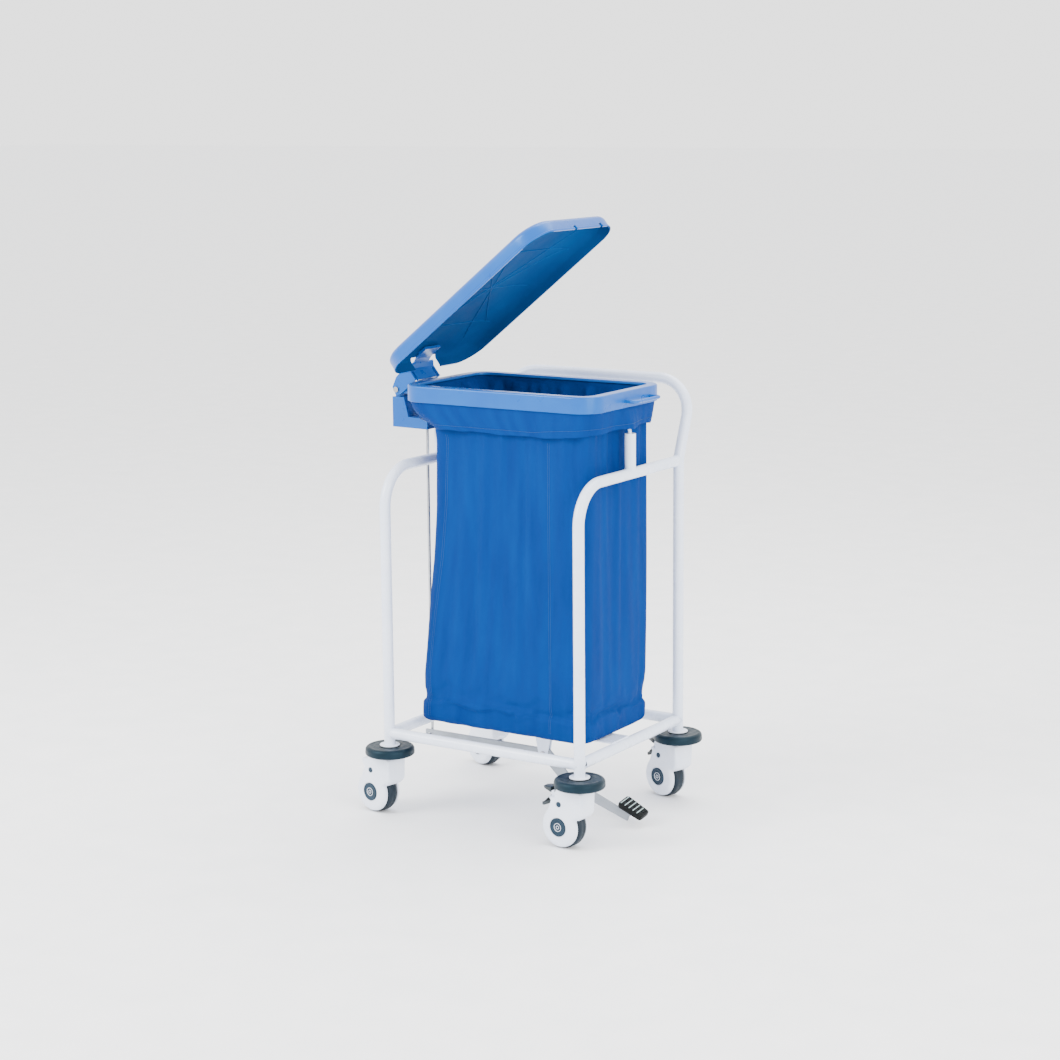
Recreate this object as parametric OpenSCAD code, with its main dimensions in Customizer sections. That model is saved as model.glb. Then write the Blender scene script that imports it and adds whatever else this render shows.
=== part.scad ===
// Hospital linen trolley: white tube frame on four shrouded casters, a fabric
// bag hung on a ring, a clamping rim and a pedal-operated tray lid.
// Millimetres, +Z up, +X towards the pedal, +Y towards the push handle.
// Each piece is drawn in its rest pose: lid held open, pedal pressed down.

/* [Frame] */
// Half of the distance between the left and right legs
leg_x = 255; // [240:1:270]
// Half of the distance between the front and rear legs
leg_y = 220; // [210:1:235]
// Outside diameter of the frame tubes
tube_d = 25; // [24:0.5:26]
// Wall of the frame tubes
tube_wall = 1.5; // [1.2:0.1:2]
// Height of the base rails
rail_z = 192; // [188:1:196]
// Height of the horizontal side tubes
side_z = 803; // [790:1:810]
// Centreline radius of the bends at the front corners
side_bend_r = 88; // [80:1:95]
// Height where the rear legs start to lean back
lean_z = 808; // [806:1:815]
// Lean of the push handle from the vertical, in degrees
lean_a = 21.5; // [18:0.5:24]
// Height of the push bar
bar_z = 981; // [975:1:990]
// Centreline radius of the corners of the push handle
bar_bend_r = 90; // [80:1:95]

/* [Bag ring and rim] */
// Half length of the bag ring along X, on its centreline
ring_x = 241; // [238:1:243]
// Half width of the bag ring along Y, on its centreline
ring_y = 150; // [145:1:154]
// Corner radius of the bag ring, on its centreline
ring_r = 42; // [38:1:46]
// Height of the bag ring
ring_z = 975; // [972:1:976]
// Top face of the rim
rim_top = 988; // [987.6:0.1:989]
// Height of the rim
rim_h = 33; // [28:1:35]
// Reach of the loop handle from the rim
loop_reach = 28; // [24:1:34]
// Y of the nearer leg of the loop handle
loop_y0 = -20; // [-26:1:-14]
// Distance between the legs of the loop handle
loop_w = 108; // [96:1:112]

/* [Lid] */
// Opening angle of the lid in the rest pose, in degrees
lid_a = 38.5; // [30:0.5:42]
// Left end of the closed lid
lid_x0 = -268; // [-270:1:-266]
// Right end of the closed lid
lid_x1 = 264; // [262:1:268]
// Half width of the lid
lid_y = 169; // [168:1:172]
// Corner radius of the lid
lid_r = 66; // [62:1:72]
// Bottom edge of the closed lid
lid_z = 962; // [961.5:0.5:964]
// Wall of the lid
lid_wall = 2.5; // [2:0.1:3]

/* [Hinge and pedal] */
// X of the hinge pin
pin_x = -340; // [-342:1:-338]
// Height of the hinge pin
pin_z = 960; // [959:1:961]
// Diameter of the hinge pin
pin_d = 8; // [7:0.5:9]
// Half width of the hinge
hinge_y = 50; // [48:1:52]
// X of the lift rod
rod_x = -290; // [-291:0.5:-289]
// Diameter of the lift rod
rod_d = 7; // [6:0.5:7.5]
// Height of the top of the lift rod
rod_top = 977.2; // [976.5:0.1:977.5]
// Height of the bar of the pedal lever
lever_z = 133; // [130:1:136]
// X of the pedal pivot
pivot_x = 30; // [25:1:35]
// Y of the pedal lever's middle plane
lever_y = -8; // [-9:0.5:-7.5]
// Thickness of the pedal lever
lever_t = 6; // [5:0.5:6.5]

/* [Casters] */
// Diameter of the wheels
wheel_d = 100; // [96:1:102]
// Width of the tyres
tyre_w = 30; // [28:1:31]
// Distance of a wheel behind its swivel axis
trail = 40; // [38:1:42]
// Half width of the caster shrouds
shroud_y = 27.5; // [27:0.5:29]
// Diameter of the bumper discs
bumper_d = 114; // [108:1:118]
// Thickness of the bumper discs
bumper_h = 22; // [20:1:23]

/* [Bag] */
// Thickness of the bag's plain wall
cloth = 2; // [1.5:0.1:2]
// Bottom of the bag
bag_z0 = 209; // [208:1:214]
// Bottom edge of the folded cuff
cuff_z = 892; // [885:1:900]

/* [Hidden] */
$fn = 48;
eps = 0.5;             // overshoot of cutting tools
gap = 0.3;             // air between parts on different bodies
fit = 0.05;            // radial clearance of running fits
tube_r = tube_d / 2;
bore_r = tube_r - tube_wall;
leg_z0 = 166;          // lower end of the legs, on the collars
elbow = 0.25;          // the dressed elbows of the rear legs stand this much proud of the tube
ring_d = 12;
ring_rad = ring_d / 2;
bar_len = (bar_z - lean_z) / cos(lean_a) - bar_bend_r;   // straight part of the lean
bar_y = leg_y + (bar_z - lean_z) * tan(lean_a);

// Offsets from the ring's centreline, measured outwards
body_off = -ring_rad - gap;                 // outer face of the bag inside the ring
cuff_off = ring_rad + gap + cloth;          // outer face of the cuff outside the ring
rim_off = 13;                               // outer face of the rim
rim_wall = 3;
lip_off = body_off - cloth - gap - 2.7;     // inner edge of the rim's lip
fold_z = ring_z + ring_rad + gap;           // underside of the fabric fold

skirt_h = 22;          // upright part of the lid's walls

loop_d = 8;
loop_z = 966;
strip_y0 = -80;
strip_y1 = -9;
strip_t = 3;
bracket_x0 = pin_x - 12;
bracket_z0 = 873;
bracket_top = 943;
knuckle_y = 38;        // half width of the bracket's knuckle
lug_y0 = knuckle_y + gap;
lug_t = 4.6;
post_top = 893;

hub_z = wheel_d / 2;
hub_r = 20.5;
axle_d = 12;
stem_d = 12;
head_z = 136;          // top of the caster shroud
cheek_r = 46;
core_r = 37;           // seat of the tyre on the wheel
brake_x = -57;         // brake pivot, from the swivel axis
brake_z = 126;

// Caster places: name order front_left, front_right, rear_right, rear_left
FL = [-leg_x, -leg_y, 10];
FR = [leg_x, -leg_y, 5];
RR = [leg_x, leg_y, 18];
RL = [-leg_x, leg_y, 18];
CORNERS = [FL, FR, RR, RL];

// The origin stands under the middle of the outline
x_lo = bracket_x0;
x_hi = leg_x + bumper_d / 2;
y_lo = -leg_y - bumper_d / 2;
y_hi = bar_y + tube_r;
origin = [(x_lo + x_hi) / 2, (y_lo + y_hi) / 2, 0];

WHITE = [0.93, 0.94, 0.96];
PALE_BLUE = [0.36, 0.62, 0.84];
ROYAL = [0.02, 0.38, 0.70];
SLATE = [0.13, 0.22, 0.28];
CAP = [0.35, 0.45, 0.52];
STEEL = [0.72, 0.73, 0.75];
GREY = [0.80, 0.81, 0.83];
BLACK = [0.06, 0.07, 0.08];

// ---------- helpers ----------
module placed() {
  translate(-origin) children();
}

// A cylinder along Y, centred on Y = 0
module y_rod(r, len) {
  rotate([90, 0, 0]) cylinder(r = r, h = len, center = true);
}

// A quarter of a ring in the XZ plane, from +X up to +Z
module bend_xz(bend_r, r, a = 90) {
  rotate([90, 0, 0]) rotate_extrude(angle = a) translate([bend_r, 0]) circle(r);
}

// A rounded rectangle about the ring's centre, off from its centreline
module ring_shape(off) {
  rounded(ring_x + off, ring_y + off, ring_r + off);
}

module rounded(x, y, r) {
  square([2 * (x - r), 2 * y], center = true);
  square([2 * x, 2 * (y - r)], center = true);
  for (sx = [-1, 1], sy = [-1, 1]) translate([sx * (x - r), sy * (y - r)]) circle(r);
}

// An outline in the XZ plane, extruded about Y = 0
module xz_plate(width) {
  rotate([90, 0, 0]) linear_extrude(height = width, center = true) children();
}

// A disc with rounded edges, about Z, from z = 0
module soft_disc(r, h, edge) {
  rotate_extrude() {
    square([r - edge, h]);
    translate([0, edge]) square([r, h - 2 * edge]);
    for (z = [edge, h - edge]) translate([r - edge, z]) circle(edge);
  }
}

module leg_solid(x, y, r) {
  translate([x, y, leg_z0 - eps]) cylinder(r = r, h = lean_z - leg_z0 + eps);
}

// Turns the closed lid to its rest angle about the hinge pin
module opened() {
  translate([pin_x, 0, pin_z]) rotate([0, -lid_a, 0]) translate([-pin_x, 0, -pin_z]) children();
}

// Puts a caster, drawn with its swivel axis at X = Y = 0, under its leg
module at_corner(c) {
  placed() translate([c[0], c[1], 0]) rotate([0, 0, -c[2]]) children();
}

// ---------- frame ----------
// Front leg and horizontal side tube as one path; s is -1 left, 1 right
module side_path(s, r, z0) {
  translate([s * leg_x, -leg_y, z0]) cylinder(r = r, h = side_z - side_bend_r - z0);
  translate([s * leg_x, -leg_y + side_bend_r, side_z - side_bend_r])
    rotate([0, 0, -90]) bend_xz(side_bend_r, r);
  translate([s * leg_x, -leg_y + side_bend_r, side_z])
    rotate([-90, 0, 0]) cylinder(r = r, h = 2 * leg_y - side_bend_r);
}

module side_tube(s) {
  color(WHITE) placed() difference() {
    side_path(s, tube_r, leg_z0);
    side_path(s, bore_r, leg_z0 - eps);
    leg_solid(s * leg_x, leg_y, tube_r);
    translate([s * leg_x, leg_y, lean_z]) sphere(r = tube_r + elbow + 0.1);
  }
}

// Rear legs, their lean and the push bar as one piece; only the upright legs are bored
module handle_frame() {
  color(WHITE) placed() difference() {
    union() {
      for (s = [-1, 1]) translate([s * leg_x, leg_y, leg_z0]) cylinder(r = tube_r, h = lean_z - leg_z0);
      for (s = [-1, 1]) translate([s * leg_x, leg_y, lean_z]) sphere(r = tube_r + elbow);
      translate([0, leg_y, lean_z]) rotate([-lean_a, 0, 0]) {
        for (s = [-1, 1]) {
          translate([s * leg_x, 0, 0]) cylinder(r = tube_r, h = bar_len);
          translate([s * (leg_x - bar_bend_r), 0, bar_len])
            rotate([0, 0, 90 - 90 * s]) bend_xz(bar_bend_r, tube_r);
        }
        translate([0, 0, bar_len + bar_bend_r])
          rotate([0, 90, 0]) cylinder(r = tube_r, h = 2 * (leg_x - bar_bend_r), center = true);
      }
    }
    for (s = [-1, 1]) translate([s * leg_x, leg_y, leg_z0 - eps]) cylinder(r = bore_r, h = lean_z - 20 - leg_z0);
  }
}

// Base rail along X between two legs
module rail_x(y) {
  color(WHITE) placed() difference() {
    translate([0, y, rail_z]) rotate([0, 90, 0]) cylinder(r = tube_r, h = 2 * leg_x, center = true);
    translate([0, y, rail_z]) rotate([0, 90, 0])
      cylinder(r = bore_r, h = 2 * leg_x + 1, center = true);
    for (s = [-1, 1]) leg_solid(s * leg_x, y, tube_r);
  }
}

// Base rail along Y between two legs
module rail_y(x) {
  color(WHITE) placed() difference() {
    translate([x, 0, rail_z]) y_rod(tube_r, 2 * leg_y);
    translate([x, 0, rail_z]) y_rod(bore_r, 2 * leg_y + 1);
    for (s = [-1, 1]) leg_solid(x, s * leg_y, tube_r);
    // mitred clear of the rails along X
    for (s = [-1, 1]) translate([x, s * leg_y, rail_z])
      rotate([0, 90, 0]) cylinder(r = tube_r + 0.1, h = 60, center = true);
  }
}

module base_strip() {
  color(WHITE) placed() translate([-leg_x, strip_y0, rail_z + tube_r])
    cube([2 * leg_x, strip_y1 - strip_y0, strip_t]);
}

// Post on the middle of a side tube, with a thin cranked rod up to the ring
module ring_post(s) {
  lean = [s * (ring_x - 1.5 - leg_x), ring_z - ring_rad - post_top];
  rod_len = norm(lean);
  color(WHITE) placed() {
    difference() {
      translate([s * leg_x, 0, side_z + 3]) cylinder(r = tube_r, h = post_top - side_z - 3);
      translate([s * leg_x, 0, side_z - eps]) cylinder(r = bore_r, h = post_top - side_z - 3 + eps);
      translate([s * leg_x, 0, side_z]) y_rod(tube_r, 60);
    }
    translate([s * leg_x, 0, post_top - 1]) rotate([0, atan2(lean[0], lean[1]), 0])
      cylinder(r = 4, h = rod_len + 1.5);
  }
}

module bag_ring() {
  color(WHITE) placed() translate([0, 0, ring_z]) {
    for (sx = [-1, 1]) translate([sx * ring_x, 0, 0]) y_rod(ring_rad, 2 * (ring_y - ring_r));
    for (sy = [-1, 1]) translate([0, sy * ring_y, 0]) rotate([0, 90, 0])
      cylinder(r = ring_rad, h = 2 * (ring_x - ring_r), center = true);
    for (k = [0:3]) {
      sx = (k == 0 || k == 3) ? 1 : -1;
      sy = k < 2 ? 1 : -1;
      translate([sx * (ring_x - ring_r), sy * (ring_y - ring_r), 0])
        rotate([0, 0, 90 * k]) rotate_extrude(angle = 90) translate([ring_r, 0]) circle(ring_rad);
    }
  }
}

// ---------- hinge ----------
module hinge_bracket() {
  color(PALE_BLUE) placed() difference() {
    union() {
      xz_plate(2 * hinge_y) polygon([
        [bracket_x0, bracket_z0], [-leg_x, bracket_z0 - 1], [-leg_x, 890], [-280, 897],
        [-308, 898], [-320, bracket_top], [bracket_x0, bracket_top]
      ]);
      // knuckle between the lugs of the rim
      translate([pin_x, 0, pin_z]) y_rod(11, 2 * knuckle_y);
      translate([pin_x - 11, -knuckle_y, bracket_top - 1]) cube([22, 2 * knuckle_y, pin_z - bracket_top + 1]);
    }
    translate([pin_x, 0, pin_z]) y_rod(pin_d / 2, 3 * hinge_y);
    translate([rod_x, 0, 800]) cylinder(r = rod_d / 2 + fit, h = 200);
    translate([-leg_x, 0, side_z]) cylinder(r = tube_r, h = 150);
  }
}

module hinge_pin() {
  color(STEEL) placed() translate([pin_x, 0, pin_z]) {
    y_rod(pin_d / 2, 2 * hinge_y + 4);
    for (s = [-1, 1]) translate([0, s * (hinge_y + 2.4), 0]) y_rod(6.5, 3.4);
  }
}

// Outline of the hinge arm's side plates, with the lid closed
module arm_outline() {
  polygon([
    [pin_x - 6, pin_z + 11], [-323, 983], [-290, 986], [-270, 988.4], [-262, 992], [-256, 993.3],
    [-249, 993.6], [-248.4, 996.5], [-226, 996.5], [-226, 990], [-262, 989.2], [-276, 984],
    [-282, 976], [-282, 946], [-321, 945], [pin_x + 2, 945],
    [pin_x - 10, pin_z - 8]
  ]);
}

module lid_hinge_arm() {
  color(PALE_BLUE) placed() opened() difference() {
    xz_plate(2 * hinge_y) arm_outline();
    // room for the knuckle, between the side plates
    xz_plate(2 * (hinge_y - 6)) polygon([
      [pin_x - 40, 900], [pin_x - 40, 980], [-323, 978.5], [-288, 981.5], [-288, 930]
    ]);
    // slots for the lugs of the rim
    for (s = [-1, 1]) translate([-300, s * (lug_y0 + lug_t / 2) - 4, 930]) cube([30, 8, 42]);
    // the tongue over the rim is narrower than the block
    for (s = [-1, 1]) translate([-276, s * 50 - 20, 940]) cube([80, 40, 80]);
    translate([pin_x, 0, pin_z]) y_rod(pin_d / 2 + fit, 3 * hinge_y);
  }
  // pad that the lift rod pushes on
  color(PALE_BLUE) placed() opened() translate([-304, -9, 946]) cube([18, 18, 37]);
}

// ---------- lid ----------
// Outline of the lid, inset all round
module lid_outline(inset) {
  translate([(lid_x0 + lid_x1) / 2, 0])
    rounded((lid_x1 - lid_x0) / 2 - inset, lid_y - inset, max(lid_r - inset, 8));
}

// Crowned tray in steps: [inset, height above the bottom edge] pairs
STEPS = [[0, 24], [1.5, 28], [4, 31.5], [9, 34.5], [17, 37], [28, 39], [44, 41], [70, 42.8], [100, 44]];

module lid_form(wall, foot) {
  for (step = STEPS) translate([0, 0, lid_z - foot])
    linear_extrude(step[1] - wall + foot) lid_outline(step[0] + wall);
}

// Opening for the hinge arm, through the left wall and up into the crown
module arm_opening() {
  translate([lid_x0 - 5, -hinge_y - 0.6, lid_z - 5]) cube([24.3, 2 * hinge_y + 1.2, 36.6]);
}

// Dished top of the lid, above its upright walls
module lid_crown() {
  color(PALE_BLUE) placed() opened() difference() {
    lid_form(0, 0);
    lid_form(lid_wall, 5);
    arm_opening();
    translate([lid_x0 - 5, -lid_y - 5, lid_z - 5])
      cube([lid_x1 - lid_x0 + 10, 2 * lid_y + 10, skirt_h + 5]);
  }
}

// Upright walls of the lid
module lid_skirt() {
  color(PALE_BLUE) placed() opened() difference() {
    translate([0, 0, lid_z]) linear_extrude(skirt_h) lid_outline(0);
    translate([0, 0, lid_z - 5]) linear_extrude(skirt_h + 10) lid_outline(lid_wall);
    arm_opening();
    // notches for the legs of the loop handle
    for (y = [loop_y0, loop_y0 + loop_w])
      translate([lid_x1 - 11.6, y - 5.5, lid_z - 5]) cube([20, 11, 15.7]);
  }
}

// ---------- rim ----------
module clamp_rim() {
  z0 = rim_top - rim_h;
  color(PALE_BLUE) placed() {
    difference() {
      union() {
        translate([0, 0, z0]) linear_extrude(rim_h - 2) ring_shape(rim_off);
        translate([0, 0, z0]) linear_extrude(rim_h) ring_shape(rim_off - 2);
      }
      translate([0, 0, z0 - eps]) linear_extrude(rim_h - rim_wall + eps) ring_shape(rim_off - rim_wall);
      translate([0, 0, z0 - eps]) linear_extrude(rim_h + 2 * eps) ring_shape(lip_off);
    }
    // short inner wall below the lip
    translate([0, 0, rim_top - 6]) linear_extrude(6) difference() {
      ring_shape(lip_off + 2.4);
      ring_shape(lip_off);
    }
    // hinge lugs
    for (s = [-1, 1]) translate([0, s * (lug_y0 + lug_t / 2), 0]) difference() {
      union() {
        translate([pin_x, 0, pin_z]) y_rod(9, lug_t);
        xz_plate(lug_t) polygon([
          [pin_x, pin_z + 9], [-ring_x - rim_off + 1, pin_z + 9], [-ring_x - rim_off + 1, 955.5],
          [pin_x, pin_z - 9]
        ]);
      }
      translate([pin_x, 0, pin_z]) y_rod(pin_d / 2 + fit, 20);
    }
  }
}

module rim_loop_handle() {
  r = 12;
  x0 = ring_x + rim_off;
  color(PALE_BLUE) placed() translate([x0, loop_y0, loop_z]) {
    for (y = [0, loop_w]) translate([0, y, 0]) rotate([0, 90, 0]) cylinder(r = loop_d / 2, h = loop_reach - r);
    translate([loop_reach, r, 0]) rotate([-90, 0, 0]) cylinder(r = loop_d / 2, h = loop_w - 2 * r);
    for (k = [0, 1]) translate([loop_reach - r, r + k * (loop_w - 2 * r), 0])
      rotate([0, 0, -90 + 90 * k]) rotate_extrude(angle = 90) translate([r, 0]) circle(loop_d / 2);
  }
}

// ---------- lift rod and pedal ----------
module lift_rod() {
  r = rod_d / 2;
  bend = 5;
  color(STEEL) placed() translate([rod_x, 0, lever_z]) {
    translate([0, 0, bend]) cylinder(r = r, h = rod_top - lever_z - bend);
    translate([0, -bend, bend]) rotate([90, 0, 90]) rod_bend(bend, r);
    translate([0, -bend, 0]) rotate([90, 0, 0]) cylinder(r = r, h = 12);
  }
}

// Quarter bend from the vertical rod to its cross end
module rod_bend(bend_r, r) {
  rotate_extrude(angle = -90) translate([bend_r, 0]) circle(r);
}

module pedal_lever() {
  half = 12;
  tip = 8.5;
  knee = [38, lever_z];
  ankle = [100, 72];
  toe = [255, 16];
  color(GREY) placed() translate([0, lever_y, 0]) {
    difference() {
      xz_plate(lever_t) polygon([
        [rod_x - 12, lever_z + half], [knee[0] + 6, lever_z + half],
        [ankle[0] + 6, ankle[1] + 12], [toe[0] + 3, toe[1] + tip],
        [toe[0] - 3, toe[1] - tip], [ankle[0] - 9, ankle[1] - 10],
        [knee[0] - 8, lever_z - half], [rod_x - 12, lever_z - half]
      ]);
      translate([pivot_x, 0, lever_z]) y_rod(pin_d / 2 + fit, 20);
      // slot for the bent end of the lift rod
      for (dx = [-4, 4]) translate([rod_x + dx, 0, lever_z]) y_rod(rod_d / 2 + 0.5, 20);
      translate([rod_x - 4, -10, lever_z - rod_d / 2 - 0.5]) cube([8, 20, rod_d + 1]);
    }
    // seat under the pad
    translate([250, 0, 33]) rotate([0, 24.7, 0]) cube([36, 26, 4], center = true);
    translate([244, -lever_t / 2, 18]) cube([12, lever_t, 15]);
  }
}

module pedal_pad() {
  color(BLACK) placed() translate([267, lever_y, 36.6]) rotate([0, 24.7, 0]) hull() {
    for (dx = [-22, 22], dy = [-16, 16])
      translate([dx, dy * (dx < 0 ? 1 : 0.82), -6]) cylinder(r = 5, h = 10, $fn = 32);
    for (dx = [-24, 24], dy = [-15, 15])
      translate([dx, dy * (dx < 0 ? 1 : 0.82), -1]) cylinder(r = 6, h = 10, $fn = 32);
  }
}

module pedal_hanger() {
  inner = lever_t / 2 + 0.6;
  t = 3;
  top = rail_z + tube_r;
  color(WHITE) placed() translate([0, lever_y, 0]) difference() {
    union() {
      for (s = [-1, 1]) translate([0, s * (inner + t / 2), 0]) xz_plate(t) polygon([
        [pivot_x - 26, top], [pivot_x + 26, top], [pivot_x + 10, lever_z - 10], [pivot_x - 10, lever_z - 10]
      ]);
      translate([pivot_x - 26, -inner - t, top - t]) cube([52, 2 * (inner + t), t]);
    }
    translate([pivot_x, 0, lever_z]) y_rod(pin_d / 2, 40);
  }
}

module pedal_pivot_pin() {
  reach = lever_t / 2 + 0.6 + 3;
  color(STEEL) placed() translate([pivot_x, lever_y, lever_z]) {
    y_rod(pin_d / 2, 2 * reach + 2);
    for (s = [-1, 1]) translate([0, s * (reach + 1.5), 0]) y_rod(6.5, 3);
  }
}

// ---------- bag ----------
// Side view of the bag, inset all round: it narrows towards the top on the left
module bag_side(inset, lift) {
  polygon([
    [-234 + inset, bag_z0 + lift], [-228 + inset, 330], [-214 + inset, 440], [-190 + inset, 600],
    [-179 + inset, 720], [-173 + inset, 880], [-234 + inset, 962], [-234 + inset, fold_z + inset * 10],
    [234 - inset, fold_z + inset * 10], [234 - inset, 960], [226 - inset, 886], [228 - inset, 500],
    [226 - inset, bag_z0 + lift]
  ]);
}

module bag_body(inset, lift) {
  intersection() {
    xz_plate(600) bag_side(inset, lift);
    linear_extrude(1100) ring_shape(body_off - inset);
  }
}

module cuff_side(inset) {
  polygon([
    [-251 + inset, 957], [-181 + inset, cuff_z - inset * 5], [271 - inset, cuff_z - inset * 5],
    [251 - inset, 957]
  ]);
}

module laundry_bag() {
  wide = ring_y + cuff_off;
  color(ROYAL) placed() {
    difference() {
      bag_body(0, 0);
      bag_body(cloth, cloth);
    }
    // fold over the ring and the upright part of the cuff
    difference() {
      translate([0, 0, 952]) linear_extrude(fold_z + cloth - 952) ring_shape(cuff_off);
      translate([0, 0, 951]) linear_extrude(fold_z - 951) ring_shape(cuff_off - cloth);
      translate([0, 0, 951]) linear_extrude(60) ring_shape(body_off - cloth);
      translate([-400, -hinge_y - 2, 940]) cube([160, 2 * hinge_y + 4, 30]);
    }
    // spreading lower part of the cuff, open at the hinge bracket
    difference() {
      xz_plate(2 * wide) cuff_side(0);
      xz_plate(2 * (wide - cloth)) cuff_side(cloth);
      translate([-400, -300, 954]) cube([800, 600, 10]);
      translate([-400, -hinge_y - 2, 880]) cube([225, 2 * hinge_y + 4, 90]);
    }
  }
}

// ---------- caster, drawn with its wheel trailing towards -X ----------
module caster_stem(c) {
  translate([c[0], c[1], 0]) {
    translate([0, 0, 100.5]) cylinder(d = stem_d, h = leg_z0 - 100.5 + 10);
    translate([0, 0, leg_z0]) cylinder(r = bore_r, h = 30);
  }
}

module caster_stems() {
  color(STEEL) placed() for (c = CORNERS) caster_stem(c);
}

module leg_collars() {
  color(WHITE) placed() for (c = CORNERS) translate([c[0], c[1], leg_z0 - 3]) difference() {
    soft_disc(23, 3, 1.4);
    translate([0, 0, -1]) cylinder(d = stem_d, h = 10);
  }
}

module bumper(c) {
  z0 = leg_z0 - 3 - bumper_h;
  color(SLATE) at_corner(c) translate([0, 0, z0]) difference() {
    soft_disc(bumper_d / 2, bumper_h, 8);
    translate([0, 0, -1]) cylinder(d = stem_d, h = bumper_h + 2);
  }
}

// The shroud before it is hollowed: a cheek disc, a boxy head and a blend between them
module shroud_solid() {
  blend = [16.6, 70];
  width = 2 * shroud_y;
  translate([-trail, 0, hub_z]) y_rod(cheek_r, width);
  difference() {
    xz_plate(width) polygon([
      [-60, 84], [-40, 60], [blend[0], 60], [blend[0], 84], [22, 84], [22, 130], [16, head_z],
      [-44, head_z], [-48, 128], [-66, 126], [-66, 119]
    ]);
    translate([blend[0], 0, blend[1]]) y_rod(13.4, width + 1);
    translate([3, -width, 50]) cube([30, 2 * width, blend[1] - 50]);
  }
}

module caster_shroud(c, brake) {
  color(WHITE) at_corner(c) difference() {
    shroud_solid();
    // room for the wheel
    translate([-trail, 0, hub_z]) y_rod(wheel_d / 2 + 3, tyre_w + 3);
    translate([-trail, 0, 0]) cube([120, tyre_w + 3, 2 * hub_z], center = true);
    translate([-trail, 0, hub_z]) y_rod(axle_d / 2, 100);
    // shallow seats of the hub caps
    for (s = [-1, 1]) translate([-trail, s * shroud_y, hub_z]) y_rod(hub_r, 3);
    translate([0, 0, 100]) cylinder(r = stem_d / 2 + fit, h = 60);
    if (brake) {
      translate([-72, -8.5, 87]) cube([24, 17, 60]);
      translate([brake_x, 0, brake_z]) y_rod(2.5, 60);
      translate([-90, 14, 116]) cube([42, 30, 30]);
      translate([-90, -44, 116]) cube([42, 30, 30]);
    }
  }
}

module bearing_ring(c) {
  color(STEEL) at_corner(c) translate([0, 0, head_z]) difference() {
    cylinder(r = 25, h = 4.4);
    translate([0, 0, -1]) cylinder(r = stem_d / 2 + fit, h = 10);
  }
}

module axle(c) {
  color(STEEL) at_corner(c) translate([-trail, 0, hub_z]) y_rod(axle_d / 2, 2 * shroud_y - 3);
}

module hub_caps(c) {
  color(CAP) at_corner(c) for (s = [-1, 1])
    translate([-trail, s * (shroud_y - 1.5), hub_z]) rotate([-s * 90, 0, 0]) cap_disc();
}

// A shallow dished disc with one raised ring
module cap_disc() {
  difference() {
    cylinder(r = hub_r, h = 3.5);
    translate([0, 0, 2.7]) cylinder(r = hub_r - 3, h = 2);
  }
  cylinder(r = 8, h = 3.5);
}

module tyre(c) {
  edge = 9;
  r = wheel_d / 2;
  color(SLATE) at_corner(c) translate([-trail, 0, hub_z]) rotate([90, 0, 0]) rotate_extrude() difference() {
    union() {
      translate([core_r, -tyre_w / 2]) square([r - edge - core_r, tyre_w]);
      translate([r - edge - 1, -tyre_w / 2 + edge]) square([edge + 1, tyre_w - 2 * edge]);
      for (s = [-1, 1]) translate([r - edge, s * (tyre_w / 2 - edge)]) circle(edge);
    }
    translate([0, -tyre_w]) square([core_r, 2 * tyre_w]);
  }
}

module wheel_core(c) {
  color(GREY) at_corner(c) translate([-trail, 0, hub_z]) rotate([90, 0, 0]) rotate_extrude() {
    translate([axle_d / 2 + fit, -15]) square([8, 30]);
    translate([axle_d / 2 + fit, -5]) square([core_r - 4 - axle_d / 2 - fit, 10]);
    translate([core_r - 5, -13]) square([5, 26]);
  }
}

module brake_lever(c) {
  color(SLATE) at_corner(c) difference() {
    union() {
      // arm between the lugs and the release tab
      xz_plate(15) polygon([
        [-68, 127], [-60, 133], [-51.5, 133], [-51.5, 108], [-54, 101], [-62, 99], [-84, 91],
        [-88, 92], [-88, 95], [-86, 97], [-64, 106], [-60, 110], [-60, 119], [-68, 122]
      ]);
      // foot blade
      xz_plate(30) polygon([[-70, 122], [-93, 129], [-93, 131.5], [-68, 133.5], [-67, 127]]);
    }
    translate([brake_x, 0, brake_z]) y_rod(2.5 + fit, 60);
  }
}

module brake_pin(c) {
  color(STEEL) at_corner(c) translate([brake_x, 0, brake_z]) y_rod(2.5, 28);
}

// ---------- parts ----------
side_tube(-1);  // left_side_tube
side_tube(1);  // right_side_tube
handle_frame();
rail_x(-leg_y);  // front_base_rail
rail_x(leg_y);  // rear_base_rail
rail_y(-leg_x);  // left_base_rail
rail_y(leg_x);  // right_base_rail
base_strip();
ring_post(-1);  // left_ring_post
ring_post(1);  // right_ring_post
bag_ring();
hinge_bracket();
hinge_pin();
pedal_hanger();
pedal_pivot_pin();
laundry_bag();
leg_collars();
caster_stems();
bumper(FL);  // front_left_bumper
bumper(FR);  // front_right_bumper
bumper(RR);  // rear_right_bumper
bumper(RL);  // rear_left_bumper
clamp_rim();
rim_loop_handle();
lid_crown();
lid_skirt();
lid_hinge_arm();
lift_rod();
pedal_lever();
pedal_pad();
caster_shroud(FL, false);  // front_left_shroud
bearing_ring(FL);  // front_left_bearing_ring
axle(FL);  // front_left_axle
hub_caps(FL);  // front_left_hub_caps
tyre(FL);  // front_left_tyre
wheel_core(FL);  // front_left_wheel_core
caster_shroud(FR, true);  // front_right_shroud
bearing_ring(FR);  // front_right_bearing_ring
axle(FR);  // front_right_axle
hub_caps(FR);  // front_right_hub_caps
tyre(FR);  // front_right_tyre
wheel_core(FR);  // front_right_wheel_core
caster_shroud(RR, true);  // rear_right_shroud
bearing_ring(RR);  // rear_right_bearing_ring
axle(RR);  // rear_right_axle
hub_caps(RR);  // rear_right_hub_caps
tyre(RR);  // rear_right_tyre
wheel_core(RR);  // rear_right_wheel_core
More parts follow.
